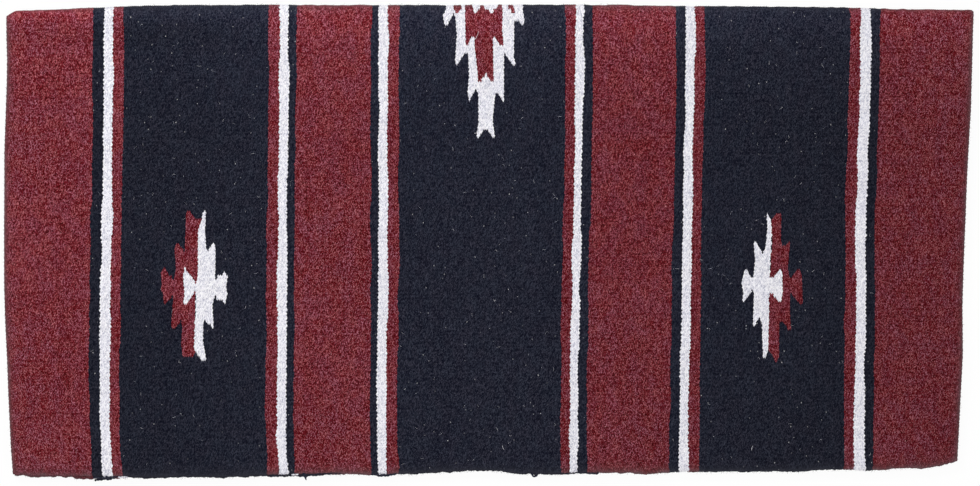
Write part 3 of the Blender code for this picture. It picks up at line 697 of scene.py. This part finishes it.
def lattice_sharp(pairs):
    """Which edges lie between two floats, or where an inner wall meets a face."""
    layer, rest = np.divmod(pairs, LAYER)
    column, row = np.divmod(rest, ROW_COUNT)
    row = row - LAST_ROW
    face = (layer[:, 0] == layer[:, 1]) & np.isin(layer[:, 0], (OUTER, INNER))
    side = (column[:, 0] == column[:, 1]) & (((column[:, 0] + row.min(1) // 2) & 1) == 0)
    end = (row[:, 0] == row[:, 1]) & ((row[:, 0] & 1) == 0)
    return face & (side | end)


def cut_piece(mask):
    """Triangles and tints of the part of the lattice where mask is true, closed all round by walls."""
    i, k = np.nonzero(mask)
    ids = i * ROW_COUNT + k
    a, b, c, d = ids, ids + 1, ids + ROW_COUNT + 1, ids + ROW_COUNT
    # The diagonal starts from the float's own middle point.
    rising = ((i + k - LAST_ROW + cell_rib[i, k]) & 1) == 0
    outer = np.where(rising[:, None], np.stack([a, b, c, a, c, d], 1), np.stack([a, b, d, b, c, d], 1))
    outer = outer.reshape(-1, 3)
    value = float_tint[i, k]
    faces = [outer, outer[:, ::-1] + INNER * LAYER]
    tints = [np.repeat(value, 2)] * 2
    padded = np.pad(mask, 1)
    for (di, dk), (first, second) in (
        ((-1, 0), (a, b)), ((0, 1), (b, c)), ((1, 0), (c, d)), ((0, -1), (d, a)),
    ):
        open_side = ~padded[i + 1 + di, k + 1 + dk]
        p, q = first[open_side], second[open_side]
        free = ((i + di < 0) | (i + di >= PICKS) | (k + dk < 0) | (k + dk >= 2 * LAST_ROW))[open_side]
        for chosen, steps in ((~free, (OUTER, INNER)), (free, (OUTER, UPPER_BULGE, LOWER_BULGE, INNER))):
            p1, q1, t1 = p[chosen], q[chosen], value[open_side][chosen]
            for above, below in zip(steps, steps[1:]):
                high, low = above * LAYER, below * LAYER
                faces.append(np.stack([q1 + high, p1 + high, p1 + low], 1))
                faces.append(np.stack([q1 + high, p1 + low, q1 + low], 1))
                tints += [t1, t1]
    faces, tints = MERGED[np.concatenate(faces)], np.concatenate(tints)
    kept = (faces[:, 0] != faces[:, 1]) & (faces[:, 1] != faces[:, 2]) & (faces[:, 2] != faces[:, 0])
    return faces[kept], tints[kept]


def bend(piece):
    """A piece that lies over the turn at the fold, with its place baked into its mesh."""
    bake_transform(piece)


owner, names, centre, cell_rib, lines = share_out_floats()
places, woven = build_lattice(*fit_to_outlines(owner, names, lines))
dice = np.random.default_rng(21)
pick_shade = dice.uniform(-1, 1, PICKS + 4)
by_float = dice.uniform(-1, 1, (PICKS + 4, 2 * LAST_ROW))
float_tint = 0.45 * pick_shade[centre + 1] + 0.75 * by_float[centre + 1, (cell_rib + LAST_ROW)]
# At the ends, the selvage and the fold the colour takes painted edge shade, together with scuffing.
near = np.exp(-from_end / 2.4) + np.exp(-from_selvage / 1.6) + np.exp(-((rows / 4) ** 2)) * 0.8
edge_scuff_and_shade = np.clip(near, 0, 1) * (0.75 + 0.25 * soft_noise(31, 8, 9))
wear = np.broadcast_to(edge_scuff_and_shade, (4, *edge_scuff_and_shade.shape)).reshape(-1)
places, woven = places.reshape(-1, 3), woven.reshape(-1, 3)

leaf_of_cell = np.where(np.arange(2 * LAST_ROW) < LEAF_ROWS, -1, 0)
leaf_of_cell[LEAF_ROWS + 2 * TURN_ROWS:] = 1
LEAF_NAMES = {1: "upper", -1: "under"}
COLOURS = ("red", "black", "white")
colours_of = np.array([COLOURS.index(colour) for _, colour in names])


def weave(name, colour, cells, leaf):
    """The piece of the cells of a leaf, or of the turn, which is 0."""
    triangles, tint = cut_piece(cells & (leaf_of_cell == leaf))
    return make_piece(f"{name}_weave", colour, places, woven, wear, triangles, tint, lattice_sharp)


made = {}
for leaf, leaf_name in LEAF_NAMES.items():
    for number, (name, colour) in enumerate(names):
        piece = weave(f"{name}_{leaf_name}", colour, owner == number, leaf)
        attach(piece, f"{leaf_name}_leaf")
        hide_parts(f"{name}_{leaf_name}")
        made[name, leaf] = piece
turns = []
for number, colour in enumerate(COLOURS):
    piece = weave(f"fold_turn_{colour}", colour, colours_of[owner] == number, 0)
    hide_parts("fold_turn_upper", "fold_turn_under")
    bend(piece)
    turns.append(piece)


# Cords
def course(points):
    """Directions along points, sideways and over, and the run along them."""
    ahead = np.gradient(points, axis=0)
    ahead /= np.linalg.norm(ahead, axis=1)[:, None]
    side = np.cross(ahead, [0, 0, 1.0])
    side[np.linalg.norm(side, axis=1) < 1e-6] = (1.0, 0, 0)
    side /= np.linalg.norm(side, axis=1)[:, None]
    run = np.concatenate([[0], np.cumsum(np.linalg.norm(np.diff(points, axis=0), axis=1))])
    return side, np.cross(side, ahead), run


def tube(points, radii, sides, phase=0.0):
    """Rings of a closed tube along points: places, yarn coordinates and triangles."""
    radii = np.broadcast_to(radii, len(points))
    side, over, run = course(points)
    run = run * 1000
    angle = phase + np.arange(sides) * 2 * math.pi / sides
    cos, sin = np.cos(angle), np.sin(angle)
    rings = points[:, None] + radii[:, None, None] * (
        cos[:, None] * side[:, None] + sin[:, None] * over[:, None])
    verts = np.concatenate([rings.reshape(-1, 3), points[:1], points[-1:]])
    cloth = np.stack(np.broadcast_arrays(
        cos * radii[:, None] * 1000, run[:, None], sin * radii[:, None] * 1000), -1).reshape(-1, 3)
    cloth = np.concatenate([cloth, [[0, run[0], 0]], [[0, run[-1], 0]]])
    count = len(points)
    n = np.arange(count - 1)[:, None] * sides
    m = np.arange(sides)[None, :]
    w = (m + 1) % sides
    a, b, c, d = n + m, n + w, n + sides + w, n + sides + m
    skin = np.concatenate([np.stack(corners, -1).reshape(-1, 3) for corners in ([a, b, c], [a, c, d])])
    m, w = m.ravel(), w.ravel()
    far = (count - 1) * sides
    start_cap = np.stack([w, m, np.full(sides, count * sides)], 1)
    end_cap = np.stack([m + far, w + far, np.full(sides, count * sides + 1)], 1)
    return verts, cloth, np.concatenate([skin, start_cap, end_cap])


def cord_piece(name, colour, tubes, scuffed_and_shaded=0.0):
    """One piece of several tubes."""
    starts = np.cumsum([0] + [len(verts) for verts, _, _ in tubes])
    verts, cloth = (np.concatenate([parts[k] for parts in tubes]) for k in (0, 1))
    faces = np.concatenate([parts[2] + start for parts, start in zip(tubes, starts)])
    return make_piece(name, colour, verts, cloth, np.full(len(verts), scuffed_and_shaded), faces, np.zeros(len(faces)))


def two_ply(points, radius, pitch):
    """Two strands laid round each other along points."""
    side, over, run = course(points)
    strands = []
    for half in (0, math.pi):
        angle = run / pitch * 2 * math.pi + half
        off = radius * 0.48 * (np.cos(angle)[:, None] * side + np.sin(angle)[:, None] * over)
        strands.append(tube(points + off, radius * 0.56, 6))
    return strands


# The warp runs to and fro inside each leaf, and straight along the turn.
for leaf, leaf_name in LEAF_NAMES.items():
    route = []
    for rib in range(RIBS - 1):
        across = np.linspace(-1, 1, 17) * (WIDTH / 2 - WARP_MARGIN)
        across = across[::-1] if rib % 2 else across
        route.append(cloth_point(across, np.full(17, leaf * (TURN_ROWS + 2 * rib + 1.0)), 0.0))
    route = np.concatenate(route)
    piece = cord_piece(f"warp_cord_{leaf_name}_two_ply", "cotton", [tube(route, WARP_RADIUS, 6)])
    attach(piece, f"{leaf_name}_leaf")
    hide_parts(f"warp_cord_{leaf_name}")
    made["warp", leaf] = piece
across = np.linspace(-1, 1, 33) * (WIDTH / 2 - WARP_MARGIN)
fold_warp = cord_piece("fold_warp_cotton", "cotton", [
    tube(cloth_point(across, np.full(33, float(at)), 0.0), TURN_WARP_RADIUS, 6)
    for at in range(-TURN_ROWS + 1, TURN_ROWS, 2)
])
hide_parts("fold_warp_upper", "fold_warp_under")
bend(fold_warp)

# Black yarn carried along the selvage from strip to strip: its first and last column, its height, and how
# far out it lies, in mm, by place across the flat cloth
CARRIED = {
    "left": (BAND_EDGES[1] + 1, BAND_EDGES[9] - 30, 0.001, (
        (-380, 0.6), (-372, 1.8), (-359, 2.2), (-354, 0.6), (-340, -0.6), (-215, -0.2), (-205, 1.4),
        (-185, 1.3), (-176, 2), (-160, 1.3), (-148, 0.2),
    )),
    "centre": (BAND_EDGES[9] + 1, BAND_EDGES[16] + 12, 0.001, (
        (-112, 0.3), (-105, 1.7), (-94, 1.5), (-86, -0.8), (40, -0.8), (46, 0), (62, 0.5), (80, 0.3),
        (88, 0), (97, 0.2), (101, 1.3), (107, 1.2), (110, -0.2),
    )),
    "right": (BAND_EDGES[17] + 1, BAND_EDGES[24] - 1, -0.001, ((176, -0.8), (370, -0.8))),
}
for leaf, leaf_name in LEAF_NAMES.items():
    for number, (label, (start, stop, height, depths)) in enumerate(CARRIED.items()):
        steps = int((stop - start) * PICK / CORD_STEP)
        across = (np.linspace(start, stop, steps) - PICKS / 2) * PICK
        uneven = 0.00025 * np.sin(across * 900 + number) + 0.0002 * np.sin(across * 410 + leaf)
        at = leaf * (LAST_ROW + (table_value(depths, across * 1000) + uneven) / ROW)
        plies = two_ply(cloth_point(across, at, height), CORD / 2, CORD_PITCH)
        # The selvage yarn takes part of the painted edge shade and scuffing.
        piece = cord_piece(f"selvage_yarn_{label}_{leaf_name}", "black", plies, 0.4)
        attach(piece, f"{leaf_name}_leaf")
        made["cord " + label, leaf] = piece

# Black ends of yarn that hang out below the upper selvage: places across and past the selvage, in mm
TUFTS = {
    "left": (
        ((-175.7, -0.5), (-175, 1.8), (-174, 3.8), (-173, 6.6)),
        ((-174.3, -0.5), (-174.2, 2), (-173.8, 4), (-173.1, 6)),
        ((-172.4, -0.5), (-172.7, 1.8), (-173.2, 3.4), (-173.4, 5.4)),
    ),
    "centre": (
        ((43.6, -0.6), (44.2, 1.6), (45.4, 3.4), (47.2, 3.6)),
        ((48.8, -0.6), (48.8, 1.5), (48.1, 3), (46.4, 3.3)),
        ((45.8, -0.6), (46.6, 1), (46.8, 2.2), (46.6, 3)),
    ),
    "outer": (((-361.4, 0.2), (-360, 2.4), (-358.8, 3.9)), ((-357, 0.2), (-357.8, 2.2), (-358.6, 3.6))),
}
for label, strands in TUFTS.items():
    tubes = []
    for number, strand in enumerate(strands):
        share = np.linspace(0, 1, 9)
        stops = np.linspace(0, 1, len(strand))
        across, past = (np.interp(share, stops, [s[k] for s in strand]) / 1000 for k in (0, 1))
        line = cloth_point(across, LAST_ROW + past / ROW, 0.0012 - 0.0004 * number - 0.001 * share)
        tubes.append(tube(line, 0.0011 * (1 - 0.6 * share ** 2), 7, number))
    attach(cord_piece(f"selvage_tuft_{label}", "black", tubes), "upper_leaf")

# White yarn runs on along the upper selvage at two places.
for label, start, stop in (("outer", -350.2, -341.8), ("inner", -186.8, -180.4)):
    across = np.linspace(start, stop, 12) / 1000
    line = cloth_point(across, np.full(12, LAST_ROW + 0.0011 / ROW), 0.0014)
    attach(cord_piece(f"selvage_white_{label}", "white", two_ply(line, 0.0009, 0.004)), "upper_leaf")


# Loose fibres
STRAY_TAPER = np.array([0.6, 1, 1, 0.9, 0.4])
STANDING_TAPER = np.array([1, 1, 0.9, 0.7, 0.4])


def fibre_line(u, row, height, length, heading, bow, rise):
    """A fibre that starts at a place of the cloth and runs along it, with its far end rising."""
    share = np.linspace(0, 1, 5)
    angle = heading + bow * (share - 0.5)
    step = length / (len(share) - 1)
    run = np.concatenate([[0], np.cumsum(np.cos(angle[:-1]) * step)])
    climb = np.concatenate([[0], np.cumsum(np.sin(angle[:-1]) * step)])
    line = cloth_point(u + run, row + climb / ROW, height + rise * share * share)
    line[:, 2] = np.maximum(line[:, 2], FLOOR_CLEARANCE)
    return line


def colour_at(u, row):
    """Colour of the weft at a place of the cloth, or at each of several."""
    column = np.clip(np.int64(u / PICK + PICKS / 2), 0, PICKS - 1)
    cell = np.clip(np.int64(row + LAST_ROW), 0, 2 * LAST_ROW - 1)
    return np.array(COLOURS)[colours_of[owner[column, cell]]]


def fibres_on(leaf, bed, count, seed):
    """Fibres that lie on a leaf's fields of one colour."""
    random = np.random.default_rng(seed)
    u = random.uniform(-0.495, 0.495, 12 * count) * WIDTH
    row = leaf * random.uniform(TURN_ROWS + 4, LAST_ROW - 4, 12 * count)
    for k in np.flatnonzero(colour_at(u, row) == bed)[:count]:
        length = random.uniform(0.0014, 0.0045)
        heading = random.uniform(0, 2 * math.pi)
        bow = random.uniform(-2, 2)
        line = fibre_line(u[k], row[k], HALF_THICK + 0.00002, length, heading, bow, 0.0002)
        yield tube(line, random.uniform(0.00004, 0.0001) * STRAY_TAPER, 3)


def edge_fibres(leaf, colour, count, seed):
    """Fibres that stand out past the ends and the selvage of a leaf, in the colour of the weft there."""
    random = np.random.default_rng(seed)
    for _ in range(count):
        height = random.uniform(-0.002, 0.003)
        if random.uniform() < 0.66:
            u, row = random.uniform(-0.5, 0.5) * WIDTH, leaf * (LAST_ROW + 0.3)
            heading = leaf * math.pi / 2 + random.uniform(-1.2, 1.2)
        else:
            side = random.choice([-1, 1])
            u, row = side * (WIDTH / 2 + 0.0005), leaf * random.uniform(TURN_ROWS, LAST_ROW)
            heading = (0 if side > 0 else math.pi) + random.uniform(-1.2, 1.2)
        if colour_at(u, row) == colour:
            length = random.uniform(0.0012, 0.003)
            line = fibre_line(u, row, height, length, heading, random.uniform(-2, 2), 0)
            yield tube(line, random.uniform(0.00006, 0.00011) * STANDING_TAPER, 3)


def fold_fibres(colour, count, seed):
    """Fibres that stand up from the turn of the cloth."""
    random = np.random.default_rng(seed)
    for _ in range(count):
        u, row = random.uniform(-0.499, 0.499) * WIDTH, random.uniform(-4.5, 5.5)
        heading, bow = random.uniform(0, 2 * math.pi), random.uniform(-2, 2)
        if colour_at(u, row) == colour:
            length, rise = random.uniform(0.0012, 0.003), random.uniform(0.0003, 0.0014)
            line = fibre_line(u, row, HALF_THICK - 0.0001, length, heading, bow, rise)
            yield tube(line, random.uniform(0.00006, 0.00011) * STANDING_TAPER, 3)


# Long white hairs on the upper leaf: place across, share of a leaf from the fold, length, heading and bow
HAIRS = (
    (-11, 0.04, 8.6, -2.05, 0.5), (-12, 0.258, 3.4, 0.1, 0.4), (-14.2, 0.262, 3, 0.2, -0.3),
    (17.4, 0.952, 4, 1.9, 0.8), (253.6, 0.955, 4.5, 1.2, 0.7),
)
for leaf, leaf_name in LEAF_NAMES.items():
    for colour, bed, count in (("white", "black", 200), ("red", "red", 200), ("black", "white", 60)):
        lines = list(fibres_on(leaf, bed, count, 50 + leaf + count))
        if leaf == 1 and colour == "white":
            for across, share, length, heading, bow in HAIRS:
                row = TURN_ROWS + share * LEAF_ROWS
                hair = fibre_line(across / 1000, row, HALF_THICK, length / 1000, -heading, bow, 0.0002)
                lines.append(tube(hair, 0.00016, 4))
        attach(cord_piece(f"stray_{colour}_fibres_{leaf_name}", colour, lines), f"{leaf_name}_leaf")
    for colour in COLOURS:
        lines = list(edge_fibres(leaf, colour, 520, 70 + leaf))
        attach(cord_piece(f"edge_{colour}_fibres_{leaf_name}", colour, lines), f"{leaf_name}_leaf")
for colour in COLOURS:
    bend(cord_piece(f"fold_{colour}_fibres", colour, list(fold_fibres(colour, 420, 90))))


# Sheets: the wide fields and the pieces woven on with each, only gathered here
def stripes(*places):
    return [f"{colour}_stripe_{place}" for place in places for colour in ("white", "red")]


# The pieces that are woven on with each sheet
SHEETS = {
    "end_field_left": stripes("left_outer"),
    "black_weft_left": ["star_white_left", "star_red_left"],
    "inner_field_left": stripes("left_inner"),
    "black_weft_centre": ["lozenge_white", "lozenge_red", *stripes("centre_left")],
    "inner_field_right": stripes("centre_right"),
    "black_weft_right": ["star_white_right", "star_red_right"],
    "end_field_right": stripes("right_inner", "right_outer"),
}
for leaf, leaf_name in LEAF_NAMES.items():
    for name, others in SHEETS.items():
        owned = [n for n, b in enumerate(BANDS) if b[0] == name]
        own_picks = sum(BANDS[n][2] for n in owned)
        length = sum(DEPTHS[leaf]) / 2
        along = [made[other, leaf] for other in others]
        if "black" in name:
            along.append(made["cord " + name.split("_")[-1], leaf])
        if leaf == 1 and name == "end_field_left":
            along += [*turns, fold_warp]
        if name == "end_field_left":
            along.append(made["warp", leaf])
        own_picks * PICK * length

# Floor, light and camera
bpy.ops.mesh.primitive_plane_add(size=8, location=(0, 0, 0))
floor = bpy.context.object
floor.name = "studio_floor"
paper = Finish(bpy.data.materials.new("white_paper"))
matt = paper.node("ShaderNodeBsdfDiffuse", {}, {"Color": (0.85, 0.85, 0.85, 1)})
glow = paper.node("ShaderNodeEmission", {}, {"Color": (1, 1, 1, 1), "Strength": 1.01})
both = paper.node("ShaderNodeMixShader", {}, (paper.shown() * 0.94, matt, glow))
paper.node("ShaderNodeOutputMaterial", {}, (both,))
floor.data.materials.append(paper.holder)

room = Finish(bpy.data.worlds.new("studio"))
air = room.node("ShaderNodeBackground", {}, {"Color": (1, 1, 1, 1), "Strength": 0.55 + room.shown() * 0.45})
room.node("ShaderNodeOutputWorld", {}, (air,))
bpy.context.scene.world = room.holder


def add_light(name, place, size, watts):
    """A round lamp that shines at the origin."""
    data = bpy.data.lights.new(name, "AREA")
    data.shape, data.size, data.energy = "DISK", size, watts
    light = bpy.data.objects.new(name, data)
    bpy.context.scene.collection.objects.link(light)
    light.location = place
    light.rotation_euler = (-Vector(place)).to_track_quat("-Z", "Y").to_euler()


add_light("key", (-0.9, 1.1, 1.9), 0.9, 26)
add_light("fill", (1.2, -1, 2.2), 1.6, 10)

lens, sensor, frame_width = 100, 36, 0.9271
camera_data = bpy.data.cameras.new("overhead_camera")
camera_data.lens, camera_data.sensor_width = lens, sensor
camera = bpy.data.objects.new("overhead_camera", camera_data)
bpy.context.scene.collection.objects.link(camera)
camera.location = (0.0004, -0.0021, 2 * AXIS_Z + frame_width * lens / sensor)
bpy.context.scene.camera = camera
bpy.context.scene.view_settings.view_transform = "Standard"
